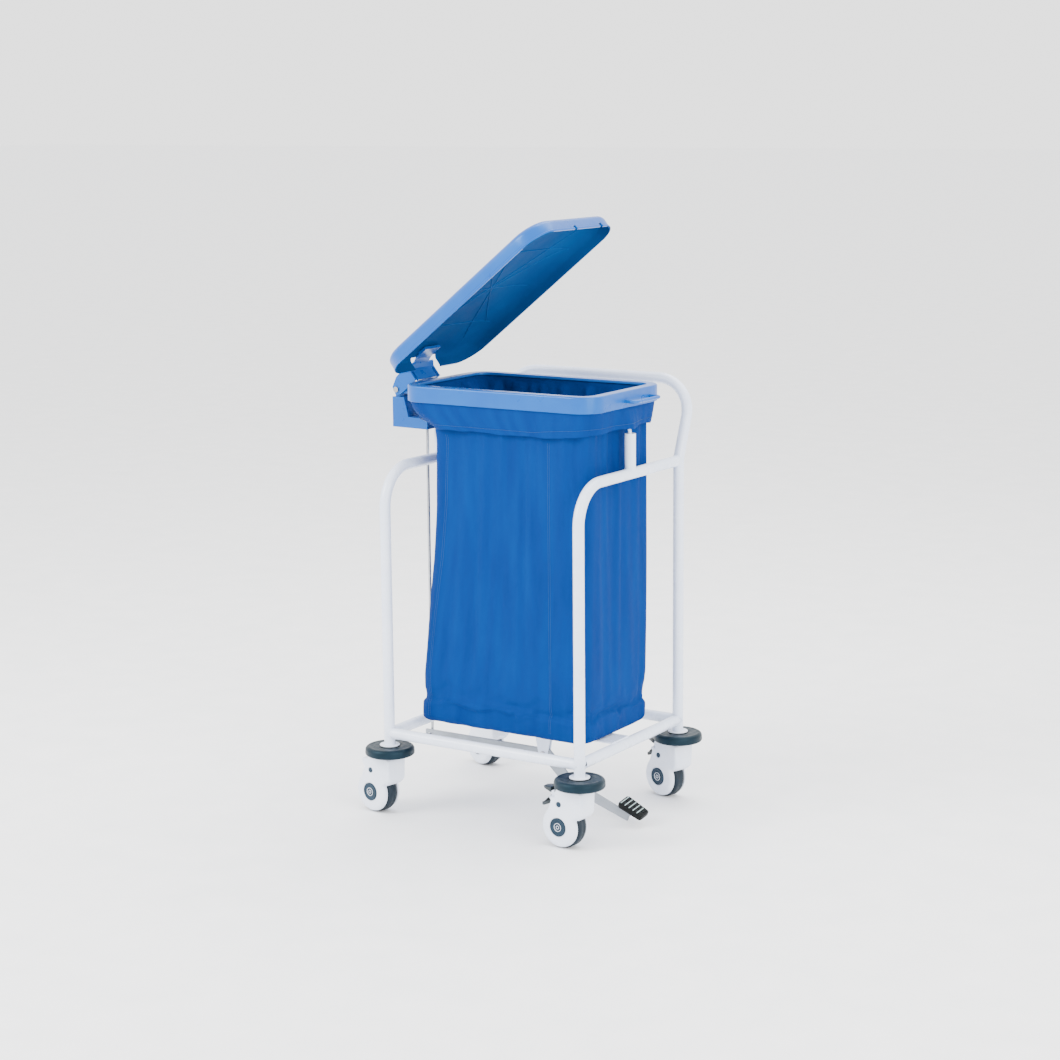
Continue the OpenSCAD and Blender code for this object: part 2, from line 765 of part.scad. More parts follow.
caster_shroud(RL, false);  // rear_left_shroud
bearing_ring(RL);  // rear_left_bearing_ring
axle(RL);  // rear_left_axle
hub_caps(RL);  // rear_left_hub_caps
tyre(RL);  // rear_left_tyre
wheel_core(RL);  // rear_left_wheel_core
brake_lever(FR);  // front_right_brake_lever
brake_pin(FR);  // front_right_brake_pin
brake_lever(RR);  // rear_right_brake_lever
brake_pin(RR);  // rear_right_brake_pin
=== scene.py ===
"""Looks of a hospital linen trolley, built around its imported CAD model.

Shapes are worked out in millimetres about the point on the floor midway between the legs,
and turned into the frame's metres when a piece is made.
"""
import math

import bmesh
import bpy
import numpy as np
from mathutils import Matrix, Vector, noise
from mathutils.bvhtree import BVHTree


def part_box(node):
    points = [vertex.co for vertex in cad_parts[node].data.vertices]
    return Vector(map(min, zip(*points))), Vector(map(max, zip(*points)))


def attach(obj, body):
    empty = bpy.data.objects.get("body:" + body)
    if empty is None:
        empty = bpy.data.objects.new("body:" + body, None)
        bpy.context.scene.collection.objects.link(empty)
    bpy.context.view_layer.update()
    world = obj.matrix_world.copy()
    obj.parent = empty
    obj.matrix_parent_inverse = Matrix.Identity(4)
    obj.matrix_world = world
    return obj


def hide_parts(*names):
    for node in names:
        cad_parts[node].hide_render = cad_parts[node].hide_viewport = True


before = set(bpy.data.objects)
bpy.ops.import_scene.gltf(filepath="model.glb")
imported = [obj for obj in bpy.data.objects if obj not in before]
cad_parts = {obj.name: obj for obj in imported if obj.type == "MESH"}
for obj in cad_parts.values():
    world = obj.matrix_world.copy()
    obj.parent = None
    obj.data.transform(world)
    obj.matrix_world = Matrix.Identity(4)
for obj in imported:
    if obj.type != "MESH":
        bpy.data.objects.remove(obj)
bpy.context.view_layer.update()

MM = 0.001


# ---------- places read from the frame ----------
def middle(node):
    low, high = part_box(node)
    return (low + high) / 2


def size(node):
    low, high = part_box(node)
    return (high - low) / MM


CENTRE = middle("leg_collars")
CENTRE.z = 0
HOME = Matrix.Translation(CENTRE) @ Matrix.Scale(MM, 4)


def top(node):
    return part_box(node)[1].z / MM


def about(node):
    """Middle of a node, in millimetres about the middle of the legs"""
    return (middle(node) - CENTRE) / MM


LEG_X = about("front_right_bumper").x
LEG_Y = -about("front_right_bumper").y
TUBE_R = size("front_base_rail").z / 2
RAIL_Z = about("front_base_rail").z
SIDE_Z = top("left_side_tube") - TUBE_R
LEG_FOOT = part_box("left_side_tube")[0].z / MM
BAR_Z = top("handle_frame") - TUBE_R
BAR_Y = (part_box("handle_frame")[1].y - CENTRE.y) / MM - TUBE_R
RING_R = size("bag_ring").z / 2
RING_X = size("bag_ring").x / 2 - RING_R
RING_Y = size("bag_ring").y / 2 - RING_R
RING_Z = about("bag_ring").z
RING_BEND = 42
RIM_TOP = top("clamp_rim")
RIM_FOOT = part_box("clamp_rim")[0].z / MM
RIM_OFF = size("clamp_rim").y / 2 - RING_Y
PIN = about("hinge_pin")
LID_ANGLE = 38.5
SIDE_BEND = 88
LEAN_Z = 808
LEAN_BEND = 70
BAR_BEND = 90

# ---------- camera ----------
LENS = 78.97
SENSOR = 36
AZIMUTH = math.radians(32.69)
ELEVATION = math.radians(10.57)
ROLL = math.radians(-0.511)
DISTANCE = 5.2984
TARGET = CENTRE + Vector((-8.95, 0, 652.03)) * MM


def add_camera():
    data = bpy.data.cameras.new("camera")
    data.lens = LENS
    data.sensor_width = SENSOR
    camera = bpy.data.objects.new("camera", data)
    bpy.context.scene.collection.objects.link(camera)
    back = Vector((math.cos(ELEVATION) * math.sin(AZIMUTH),
                   -math.cos(ELEVATION) * math.cos(AZIMUTH), math.sin(ELEVATION)))
    level = Vector((math.cos(AZIMUTH), math.sin(AZIMUTH), 0))
    rise = back.cross(level)
    right = level * math.cos(ROLL) + rise * math.sin(ROLL)
    up = back.cross(right)
    turn = Matrix((right, up, back)).transposed().to_4x4()
    camera.matrix_world = Matrix.Translation(TARGET + back * DISTANCE) @ turn
    bpy.context.scene.camera = camera


# ---------- floor and light ----------
def rgb(red, green, blue):
    """Linear colour from the 0 to 255 values that a screen shows"""
    def linear(value):
        value /= 255
        return value / 12.92 if value <= 0.04045 else ((value + 0.055) / 1.055) ** 2.4
    return (linear(red), linear(green), linear(blue), 1)


def add_light(name, place, aim, power, width):
    data = bpy.data.lights.new(name, "AREA")
    data.energy = power
    data.size = width
    light = bpy.data.objects.new(name, data)
    bpy.context.scene.collection.objects.link(light)
    light.location = CENTRE + Vector(place)
    light.rotation_euler = (CENTRE + Vector(aim) - light.location).to_track_quat("-Z", "Y").to_euler()


def add_studio():
    world = bpy.data.worlds.new("studio")
    world.use_nodes = True
    world.node_tree.nodes["Background"].inputs["Color"].default_value = (1, 1, 1, 1)
    world.node_tree.nodes["Background"].inputs["Strength"].default_value = 2.4
    bpy.context.scene.world = world
    add_light("key", (-2.2, -3.4, 3.2), (0, 0, 0.6), 250, 2.2)
    add_light("fill", (3.6, -1.6, 1.8), (0, 0, 0.5), 110, 2.4)
    add_light("crown", (0.3, 1.2, 3.8), (0, 0, 0.8), 120, 2.6)
    mesh = bpy.data.meshes.new("floor")
    reach = 60
    mesh.from_pydata([(-reach, -reach, 0), (reach, -reach, 0), (reach, reach, 0), (-reach, reach, 0)],
                     [], [(0, 1, 2, 3)])
    floor = bpy.data.objects.new("floor", mesh)
    bpy.context.scene.collection.objects.link(floor)
    mesh.materials.append(surface("floor_paper", rgb(246, 247, 248), rgb(252, 252, 253), rough=(0.7, 0.8)))


# ---------- materials ----------
def node(tree, kind, **inputs):
    made = tree.nodes.new(kind)
    for name, value in inputs.items():
        made.inputs[name.replace("_", " ")].default_value = value
    return made


def noise_of(tree, coords, scale, detail=3.0):
    made = node(tree, "ShaderNodeTexNoise", Scale=scale, Detail=detail)
    tree.links.new(coords, made.inputs["Vector"])
    return made.outputs["Fac"]


def mixed(tree, factor, dark, light):
    """A colour between dark and light, where the factor's middle range spreads over both"""
    ramp = tree.nodes.new("ShaderNodeValToRGB")
    ramp.color_ramp.elements[0].position = 0.3
    ramp.color_ramp.elements[1].position = 0.7
    ramp.color_ramp.elements[0].color = dark
    ramp.color_ramp.elements[1].color = light
    tree.links.new(factor, ramp.inputs["Fac"])
    return ramp.outputs["Color"]


def ranged(tree, factor, low, high):
    made = node(tree, "ShaderNodeMapRange", From_Min=0.3, From_Max=0.7, To_Min=low, To_Max=high)
    tree.links.new(factor, made.inputs["Value"])
    return made.outputs["Result"]


def bumped(tree, shader, height, distance, strength=1.0, before=None):
    made = node(tree, "ShaderNodeBump", Strength=strength, Distance=distance)
    tree.links.new(height, made.inputs["Height"])
    if before is not None:
        tree.links.new(before, made.inputs["Normal"])
    tree.links.new(made.outputs["Normal"], shader.inputs["Normal"])
    return made.outputs["Normal"]


def started(name, stretch=(1, 1, 1), source="Object"):
    material = bpy.data.materials.new(name)
    material.use_nodes = True
    tree = material.node_tree
    coords = tree.nodes.new("ShaderNodeTexCoord").outputs[source]
    mapping = node(tree, "ShaderNodeMapping", Scale=stretch)
    tree.links.new(coords, mapping.inputs["Vector"])
    return material, tree, tree.nodes["Principled BSDF"], mapping.outputs["Vector"]


def surface(name, dark, light, patch=9.0, rough=(0.3, 0.4), grain=700.0, depth=0.0,
            waviness=0.0, stretch=(1, 1, 1), **fixed):
    """A finish whose colour drifts between two tones, with uneven gloss and a fine grain"""
    material, tree, shader, coords = started(name, stretch)
    drift = noise_of(tree, coords, patch)
    fine = noise_of(tree, coords, grain, 2.0)
    tree.links.new(mixed(tree, drift, dark, light), shader.inputs["Base Color"])
    tree.links.new(ranged(tree, noise_of(tree, coords, patch * 4), *rough), shader.inputs["Roughness"])
    normal = None
    if waviness:
        normal = bumped(tree, shader, noise_of(tree, coords, patch * 5, 1.0), waviness)
    if depth:
        bumped(tree, shader, fine, depth, before=normal)
    for name, value in fixed.items():
        shader.inputs[name.replace("_", " ")].default_value = value
    return material


def woven(name, dark, light):
    """Plain-weave cloth: warp and weft threads from the sheet's own measure, slubs and faded patches"""
    material, tree, shader, coords = started(name, source="UV")
    threads = []
    for direction in ("X", "Y"):
        wave = node(tree, "ShaderNodeTexWave", Scale=230.0, Distortion=1.5, Detail=1.0)
        wave.bands_direction = direction
        tree.links.new(coords, wave.inputs["Vector"])
        threads.append(wave.outputs["Fac"])
    weave = tree.nodes.new("ShaderNodeMath")
    weave.operation = "MULTIPLY"
    for thread, socket in zip(threads, weave.inputs):
        tree.links.new(thread, socket)
    stretch = node(tree, "ShaderNodeMapping", Scale=(26, 5, 1))
    tree.links.new(coords, stretch.inputs["Vector"])
    slubs = noise_of(tree, stretch.outputs["Vector"], 1.0, 5.0)
    tone = mixed(tree, slubs, dark, light)
    shade = tree.nodes.new("ShaderNodeMix")
    shade.data_type = "RGBA"
    shade.blend_type = "MULTIPLY"
    shade.inputs["Factor"].default_value = 0.35
    tree.links.new(tone, shade.inputs["A"])
    tree.links.new(mixed(tree, weave.outputs["Value"], (0.45, 0.45, 0.45, 1), (1, 1, 1, 1)),
                   shade.inputs["B"])
    tree.links.new(shade.outputs["Result"], shader.inputs["Base Color"])
    tree.links.new(ranged(tree, slubs, 0.62, 0.8), shader.inputs["Roughness"])
    crinkle = bumped(tree, shader, noise_of(tree, coords, 55.0, 3.0), 0.0012, 0.7)
    bumped(tree, shader, weave.outputs["Value"], 0.0003, 0.6, before=crinkle)
    shader.inputs["Sheen Weight"].default_value = 0.02
    shader.inputs["Sheen Roughness"].default_value = 0.45
    shader.inputs["Sheen Tint"].default_value = (0.1, 0.4, 1.0, 1)
    shader.inputs["Specular IOR Level"].default_value = 0.05
    return material


def make_materials():
    made = {}
    made["frame_white"] = surface("powder_coat", rgb(214, 224, 243), rgb(226, 234, 249), rough=(0.2, 0.32),
                                  grain=520.0, depth=0.00012, Coat_Weight=0.35, Coat_Roughness=0.12)
    made["white_plastic"] = surface("white_moulding", rgb(216, 224, 240), rgb(228, 234, 246), patch=20.0,
                                    rough=(0.28, 0.38), grain=1500.0, depth=0.00004, Coat_Weight=0.2)
    made["blue_plastic"] = surface("pale_blue_moulding", rgb(0, 72, 152), rgb(4, 82, 160), patch=7.0,
                                   rough=(0.26, 0.36), grain=1200.0, depth=0.00006, waviness=0.0006,
                                   Specular_Tint=(0.3, 0.65, 1, 1), Coat_Weight=0.12, Coat_Roughness=0.2)
    # a darker copy of the blue plastic for the lid's underside: painted shade, not a different plastic
    made["blue_lining"] = surface("deep_blue_lining", rgb(0, 54, 106), rgb(0, 64, 118), patch=6.0,
                                  rough=(0.42, 0.52), grain=1200.0, depth=0.00006, waviness=0.0006,
                                  Specular_Tint=(0.1, 0.5, 1, 1), Specular_IOR_Level=0.01)
    # a darker copy of the blue plastic for the ribs under the lid: painted shade
    made["rib_blue"] = surface("rib_blue", rgb(4, 62, 116), rgb(8, 70, 126), patch=6.0, rough=(0.4, 0.5),
                               grain=1200.0, depth=0.00006, Specular_IOR_Level=0.02)
    made["bag_fabric"] = woven("royal_blue_cloth", rgb(0, 46, 112), rgb(0, 56, 126))
    made["stitching"] = surface("blue_thread", rgb(0, 46, 96), rgb(4, 66, 124), patch=300.0,
                                rough=(0.6, 0.8), grain=4000.0, depth=0.0001)
    made["bumper_rubber"] = surface("slate_rubber", rgb(4, 18, 26), rgb(12, 28, 38), patch=25.0,
                                    rough=(0.36, 0.5), grain=1400.0, depth=0.00008,
                                    Specular_Tint=(0.5, 0.8, 1, 1), Specular_IOR_Level=0.25)
    made["tyre_rubber"] = surface("tyre_rubber", rgb(6, 20, 30), rgb(14, 30, 42), patch=30.0,
                                  rough=(0.4, 0.55), grain=1600.0, depth=0.0001, Specular_IOR_Level=0.25)
    made["wheel_core"] = surface("core_plastic", rgb(180, 184, 190), rgb(200, 203, 208), patch=22.0,
                                 rough=(0.4, 0.5), grain=1300.0, depth=0.00006)
    made["cap_grey"] = surface("cap_slate", rgb(20, 40, 54), rgb(30, 50, 66), patch=40.0,
                               rough=(0.3, 0.42), grain=1800.0, depth=0.00005, Specular_IOR_Level=0.2)
    made["brake_grey"] = surface("brake_slate", rgb(18, 28, 34), rgb(30, 42, 48), patch=30.0,
                                 rough=(0.35, 0.5), grain=1500.0, depth=0.00008)
    made["bare_steel"] = surface("brushed_steel", rgb(150, 152, 156), rgb(188, 190, 194), patch=30.0,
                                 rough=(0.22, 0.38), grain=160.0, depth=0.00004, stretch=(8, 8, 1),
                                 Metallic=1.0)
    made["lever_grey"] = surface("lever_paint", rgb(132, 138, 146), rgb(148, 154, 161), patch=18.0,
                                 rough=(0.35, 0.5), grain=600.0, depth=0.00012)
    made["pad_rubber"] = surface("pad_rubber", rgb(2, 5, 6), rgb(8, 12, 13), patch=60.0,
                                 rough=(0.4, 0.6), grain=1500.0, depth=0.0001, Specular_IOR_Level=0.15)
    made["pad_line"] = surface("pad_line", rgb(150, 172, 170), rgb(180, 198, 196), patch=60.0,
                               rough=(0.4, 0.6), grain=1500.0, depth=0.0001)
    return made


# ---------- shapes ----------
def arc(centre, radius, start, end, count):
    """Points on a circle between two angles in degrees, both ends included"""
    angles = np.radians(np.linspace(start, end, count))
    return [(centre[0] + radius * math.cos(a), centre[1] + radius * math.sin(a)) for a in angles]


def bent(corners, steps=8):
    """A path through corners, (point, radius) pairs: a radius rounds its corner off"""
    points = []
    for index, (here, radius) in enumerate(corners):
        here = Vector(here)
        if not radius:
            points.append(here)
            continue
        back = (Vector(corners[index - 1][0]) - here).normalized()
        ahead = (Vector(corners[(index + 1) % len(corners)][0]) - here).normalized()
        half = back.angle(ahead) / 2
        reach = radius / math.tan(half)
        centre = here + (back + ahead).normalized() * (radius / math.sin(half))
        start = here + back * reach - centre
        end = here + ahead * reach - centre
        turn = start.angle(end)
        for k in range(steps + 1):
            share = k / steps
            points.append(centre + (start * math.sin(turn * (1 - share)) + end * math.sin(turn * share))
                          / math.sin(turn))
    return points


def outline(corners, steps=5):
    """A closed flat outline from (x, z, radius) corners"""
    path = bent([((x, z, 0), radius) for x, z, radius in corners], steps)
    return [(p.x, p.y) for p in path]


def loft(rings, wrap=False, caps=True):
    """Vertices and faces over rings of equally many points; wrap joins the last ring to the first"""
    count = len(rings[0])
    vertices = [tuple(p) for ring in rings for p in ring]
    faces = []
    for i in range(len(rings) if wrap else len(rings) - 1):
        a = i * count
        b = (i + 1) % len(rings) * count
        for k in range(count):
            k2 = (k + 1) % count
            faces.append((a + k, a + k2, b + k2, b + k))
    if caps and not wrap:
        faces.append(tuple(range(count))[::-1])
        faces.append(tuple(range(len(vertices) - count, len(vertices))))
    return vertices, faces


def lathe(profile, hole=False, segments=96):
    """A solid turned about Z from (radius, z) points"""
    angles = np.linspace(0, 2 * math.pi, segments, endpoint=False)
    rings = [[(r * math.cos(a), r * math.sin(a), z) for a in angles] for r, z in profile]
    return loft(rings, wrap=hole)


def tube(path, radius, sides=28, closed=False):
    """A round bar along a path"""
    points = [Vector(p) for p in path]
    count = len(points)
    rings = []
    across = None
    for i, point in enumerate(points):
        before = points[i - 1] if closed or i else point
        after = points[(i + 1) % count] if closed or i < count - 1 else point
        along = (after - before).normalized()
        if across is None:
            across = along.orthogonal()
        across = (across - along * across.dot(along)).normalized()
        side = along.cross(across)
        rings.append([point + radius * (math.cos(a) * across + math.sin(a) * side)
                      for a in np.linspace(0, 2 * math.pi, sides, endpoint=False)])
    return loft(rings, wrap=closed)


def slab(shape, half, edge, rounds=4, dome=0.0, dome_z=(0, 0)):
    """A flat outline in the XZ plane, 2 * half thick about Y = 0, with its edges rounded off.

    Below dome_z[0] the edges round off by dome more, and above dome_z[1] by nothing more.
    """
    flat = [Vector(p) for p in shape]
    count = len(flat)
    turning = sum(flat[i - 1].x * flat[i].y - flat[i].x * flat[i - 1].y for i in range(count))
    normals = []
    for i in range(count):
        along = (flat[(i + 1) % count] - flat[i - 1]).normalized()
        normals.append(Vector((along.y, -along.x)) * (1 if turning > 0 else -1))
    turns = list(np.linspace(0, math.pi / 2, rounds + 1))
    edges = [edge + float(np.interp(p.y, dome_z, (dome, 0))) for p in flat]
    rings = []
    for side, angles in ((-1, turns), (1, turns[::-1])):
        for a in angles:
            rings.append([(p.x - n.x * e * (1 - math.sin(a)), side * (half - e + e * math.cos(a)),
                           p.y - n.y * e * (1 - math.sin(a))) for p, n, e in zip(flat, normals, edges)])
    return loft(rings)


def shifted(shape, offset):
    vertices, faces = shape
    return [tuple(Vector(v) + Vector(offset)) for v in vertices], faces


def turned(shape, axis, degrees):
    turn = Matrix.Rotation(math.radians(degrees), 3, axis)
    vertices, faces = shape
    return [tuple(turn @ Vector(v)) for v in vertices], faces


def joined(*shapes):
    vertices = []
    faces = []
    for more, their_faces in shapes:
        start = len(vertices)
        vertices += more
        faces += [tuple(start + k for k in face) for face in their_faces]
    return vertices, faces


def make(name, shape, look, place=HOME, crease=35):
    """A mesh object from a shape in millimetres, with smooth shading between the creases"""
    mesh = bpy.data.meshes.new(name)
    mesh.from_pydata(shape[0], [], shape[1])
    work = bmesh.new()
    work.from_mesh(mesh)
    bmesh.ops.recalc_face_normals(work, faces=work.faces)
    work.to_mesh(mesh)
    work.free()
    mesh.transform(place)
    mesh.materials.append(LOOKS[look])
    piece = bpy.data.objects.new(name, mesh)
    bpy.context.scene.collection.objects.link(piece)
    smoothed(piece, crease)
    return piece


def smoothed(piece, crease=35):
    piece.data.polygons.foreach_set("use_smooth", [True] * len(piece.data.polygons))
    piece.data.set_sharp_from_angle(angle=math.radians(crease))


def applied(piece):
    """Turns a piece's modifiers into its mesh"""
    graph = bpy.context.evaluated_depsgraph_get()
    mesh = bpy.data.meshes.new_from_object(piece.evaluated_get(graph))
    piece.modifiers.clear()
    piece.data = mesh
    return piece


def carved(piece, *tools, crease=35):
    """Cuts the tools' shapes out of a piece"""
    for tool in tools:
        change = piece.modifiers.new("cut", "BOOLEAN")
        change.object = tool
        change.operation = "DIFFERENCE"
        change.solver = "EXACT"
        applied(piece)
        bpy.data.objects.remove(tool)
    smoothed(piece, crease)
    return piece


def settle(piece, body, slot, *replaced):
    """Ties a finished piece to its body and hides the CAD nodes that it stands for. The slot is not used
    """
    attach(piece, body)
    if replaced:
        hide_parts(*replaced)
    return piece


def block(x0, x1, y0, y1, z0, z1):
    shape = [(x0, z0), (x1, z0), (x1, z1), (x0, z1)]
    return shifted(slab(shape, (y1 - y0) / 2, 0, 1), (0, (y0 + y1) / 2, 0))


# ---------- frame ----------
def leg_welds():
    """Beads where the rails and side tubes meet the legs"""
    bead = 1.5
    beads = []

    def bead_at(leg, z, toward):
        """toward is the unit direction in which the joining tube leaves the leg"""
        across = Vector((-toward.y, toward.x, 0))
        path = []
        for a in np.linspace(0, 2 * math.pi, 48, endpoint=False):
            side = TUBE_R * math.cos(a)
            depth = math.sqrt(max(TUBE_R ** 2 - side ** 2, 0)) + 0.4
            path.append(Vector((leg[0], leg[1], z)) + across * side + toward * depth
                        + Vector((0, 0, TUBE_R * math.sin(a))))
        beads.append(tube(path, bead, 8, closed=True))

    for sx in (-1, 1):
        for sy in (-1, 1):
            leg = (sx * LEG_X, sy * LEG_Y)
            bead_at(leg, RAIL_Z, Vector((-sx, 0, 0)))
            bead_at(leg, RAIL_Z, Vector((0, -sy, 0)))
        bead_at((sx * LEG_X, LEG_Y), SIDE_Z, Vector((0, -1, 0)))
    return beads


def add_frame():
    for side, name in ((-1, "left"), (1, "right")):
        x = side * LEG_X
        path = bent([((x, -LEG_Y, LEG_FOOT), 0), ((x, -LEG_Y, SIDE_Z), SIDE_BEND),
                     ((x, LEG_Y, SIDE_Z), 0)], 16)
        piece = make(name + "_bent_side_tube", tube(path, TUBE_R, 40), "frame_white")
        settle(piece, "frame", "frame_white", name + "_side_tube")
    path = bent([((LEG_X, LEG_Y, LEG_FOOT), 0), ((LEG_X, LEG_Y, LEAN_Z), LEAN_BEND),
                 ((LEG_X, BAR_Y, BAR_Z), BAR_BEND), ((-LEG_X, BAR_Y, BAR_Z), BAR_BEND),
                 ((-LEG_X, LEG_Y, LEAN_Z), LEAN_BEND), ((-LEG_X, LEG_Y, LEG_FOOT), 0)], 16)
    piece = make("push_handle", tube(path, TUBE_R, 40), "frame_white")
    settle(piece, "frame", "frame_white", "handle_frame")
    settle(make("weld_beads", joined(*leg_welds()), "frame_white"), "frame", "frame_white")


# ---------- rim and lid ----------
def ring_path(half_x, half_y, radius, straight=14, corner=12):
    """(centre, outward) pairs around a rounded rectangle: a point at offset d lies at
    centre + outward * (radius + d)"""
    pairs = []
    corners = [(1, 1), (-1, 1), (-1, -1), (1, -1)]
    inner_x = half_x - radius
    inner_y = half_y - radius
    for index, (sx, sy) in enumerate(corners):
        centre = Vector((sx * inner_x, sy * inner_y))
        for angle in np.radians(np.linspace(90 * index, 90 * index + 90, corner + 1)):
            pairs.append((centre, Vector((math.cos(angle), math.sin(angle)))))
        after = Vector((corners[(index + 1) % 4][0] * inner_x, corners[(index + 1) % 4][1] * inner_y))
        outward = pairs[-1][1]
        for share in np.linspace(0, 1, straight + 1)[1:-1]:
            pairs.append((centre.lerp(after, share), outward))
    return pairs


def swept(pairs, radius, profile, shift=(0, 0)):
    """One ring per (offset, z) of a profile, around a rounded rectangle"""
    return [[(c.x + n.x * max(radius + off, 1) + shift[0], c.y + n.y * max(radius + off, 1) + shift[1], z)
             for c, n in pairs] for off, z in profile]


def rim_lug(side):
    """Lug that reaches from the rim to the hinge pin"""
    knuckle = arc((PIN.x, PIN.z), 9, 100, 262, 14)
    root = -RING_X - RIM_OFF + 1
    shape = knuckle + [(root, RIM_FOOT + 0.5), (root, PIN.z + 9)]
    return shifted(slab(shape, 2.3, 0.5, 2), (0, side * 40.6, 0))


def add_rim():
    """Band open below, with a rounded outer edge and a flat top that reaches inwards over the ring"""
    lip = -RING_R - 5.3
    profile = ([(RIM_OFF - 0.8, RIM_FOOT), (RIM_OFF, RIM_FOOT + 0.8)]
               + arc((RIM_OFF - 4, RIM_TOP - 4), 4, 0, 90, 7)
               + [(RIM_OFF - 9, RIM_TOP - 0.6), (lip + 6, RIM_TOP - 0.3)]
               + arc((lip + 1.2, RIM_TOP - 1.2), 1.2, 90, 180, 4)
               + [(lip, RIM_TOP - 6), (lip + 2.4, RIM_TOP - 6), (lip + 2.4, RIM_TOP - 3),
                  (RIM_OFF - 3, RIM_TOP - 3), (RIM_OFF - 3, RIM_FOOT)])
    pairs = ring_path(RING_X, RING_Y, RING_BEND)
    band = loft(swept(pairs, RING_BEND, profile), wrap=True)
    piece = make("rim_band", joined(band, rim_lug(-1), rim_lug(1)), "blue_plastic")
    settle(piece, "rim", "blue_plastic", "clamp_rim")


def lid_place():
    pin = CENTRE + Vector((PIN.x, 0, PIN.z)) * MM
    return (Matrix.Translation(pin) @ Matrix.Rotation(math.radians(-LID_ANGLE), 4, "Y")
            @ Matrix.Translation(-pin) @ HOME)


LID_X0 = -268
LID_X1 = 264
LID_Y = 169
LID_R = 66
LID_Z = 962
LID_WALL = 2.5
LID_CROWN = [(0, 22), (-0.6, 25), (-2, 28), (-4.5, 31), (-8.5, 33.8), (-14, 36), (-22, 38),
             (-32, 39.8), (-44, 41.2), (-60, 42.6), (-64, 43)]
HINGE_Y = 50


def crown_height(x, y):
    """Height of the lid's underside above its bottom edge, for a rib to follow"""
    inset = min(x - LID_X0, LID_X1 - x, LID_Y - abs(y))
    offs = [-off for off, _ in LID_CROWN]
    rises = [rise for _, rise in LID_CROWN]
    return float(np.interp(inset - LID_WALL, offs, rises)) - LID_WALL


def lid_rib(start, end, height=2.1, width=3.0):
    """Straight rib along the lid's underside, narrower at its free edge"""
    start = Vector(start)
    end = Vector(end)
    along = (end - start).normalized()
    side = Vector((-along.y, along.x)) * width / 2
    rings = []
    for share in np.linspace(0, 1, 30):
        p = start.lerp(end, share)
        roof = LID_Z + crown_height(p.x, p.y) + 0.6
        rings.append([(p.x - side.x, p.y - side.y, roof), (p.x + side.x, p.y + side.y, roof),
                      (p.x + side.x * 0.5, p.y + side.y * 0.5, roof - height),
                      (p.x - side.x * 0.5, p.y - side.y * 0.5, roof - height)])
    return loft(rings)


def add_lid():
    """Crowned tray with a bead round its bottom edge, cut out for the hinge arm and loop handle"""
    half_x = (LID_X1 - LID_X0) / 2
    shift = ((LID_X0 + LID_X1) / 2, 0)
    pairs = ring_path(half_x, LID_Y, LID_R)
    outer = [(0.8, LID_Z), (1.4, LID_Z + 0.8), (1.4, LID_Z + 4), (0.2, LID_Z + 5.2)]
    outer += [(off, LID_Z + rise) for off, rise in LID_CROWN]
    inner = [(off - LID_WALL, LID_Z + rise - LID_WALL) for off, rise in reversed(LID_CROWN)]
    inner += [(-LID_WALL, LID_Z)]
    rings = swept(pairs, LID_R, outer + inner, shift)
    vertices, faces = loft(rings, caps=False)
    count = len(pairs)
    # the crown's middle and its underside, then the bottom edge that joins the two skins
    middle_out = len(outer) - 1
    del faces[middle_out * count:(middle_out + 1) * count]
    faces.append(tuple(range(middle_out * count, (middle_out + 1) * count)))
    faces.append(tuple(range((middle_out + 1) * count, (middle_out + 2) * count))[::-1])
    last = (len(rings) - 1) * count
    faces += [(last + k, last + (k + 1) % count, (k + 1) % count, k) for k in range(count)]
    lid = make("lid_tray", (vertices, faces), "blue_plastic", lid_place(), 40)
    loop = about("rim_loop_handle")
    leg_gap = size("rim_loop_handle").y / 2 - 4
    tools = [block(LID_X0 - 5, LID_X0 + 19.3, -HINGE_Y - 0.6, HINGE_Y + 0.6, LID_Z - 5, LID_Z + 31.6)]
    tools += [block(LID_X1 - 12, LID_X1 + 8, y - 5.5, y + 5.5, LID_Z - 5, LID_Z + 10.7)
              for y in (loop.y - leg_gap, loop.y + leg_gap)]
    carved(lid, *[make("tool", tool, "blue_plastic", lid_place()) for tool in tools], crease=40)
    # the underside's faces take the painted shade copy of the blue plastic
    paint_underside_shade(lid)
    settle(lid, "lid", "blue_plastic", "lid_crown", "lid_skirt")
    reach_x = 236
    reach_y = 150
    cells = (-150, -10, 130)
    ribs = [lid_rib((x, -reach_y), (x, reach_y)) for x in cells]
    ribs += [lid_rib((-reach_x, s * 134), (reach_x, -s * 134)) for s in (-1, 1)]
    ribs += [lid_rib((cells[0], s * 140), (cells[2], -s * 140)) for s in (-1, 1)]
    # the ribs under the lid take a painted shade copy of the blue plastic
    piece = make("lid_ribs", joined(*ribs), "rib_blue", lid_place())
    settle(piece, "lid", "blue_plastic")


def paint_underside_shade(lid):
    """Faces on the lid's hollow underside take a darker copy of the blue plastic, painted shade for the
    shadow under the lid
    """
    lid.data.materials.append(LOOKS["blue_lining"])
    place = lid_place()
    down = (place.to_3x3() @ Vector((0, 0, -1))).normalized()
    back = place.inverted()
    inner_x = (LID_X1 - LID_X0) / 2 - LID_WALL * 0.6
    for face in lid.data.polygons:
        spot = back @ face.center
        from_middle = Vector((spot.x - (LID_X0 + LID_X1) / 2, spot.y, 0))
        inside = abs(from_middle.x) < inner_x and abs(from_middle.y) < LID_Y - LID_WALL * 0.6
        facing = back.to_3x3() @ face.normal
        inward = facing.dot(from_middle) < 0
        if inside and (face.normal.dot(down) > 0.15 or inward and face.normal.dot(down) > -0.4):
            face.material_index = 1


# ---------- casters ----------
CORNERS = ("front_left", "front_right", "rear_right", "rear_left")
TRAIL = 40
HUB_Z = about("front_left_axle").z
WHEEL_R = HUB_Z
CORE_R = 37
TYRE_HALF = 15
CHEEK_R = 46.5
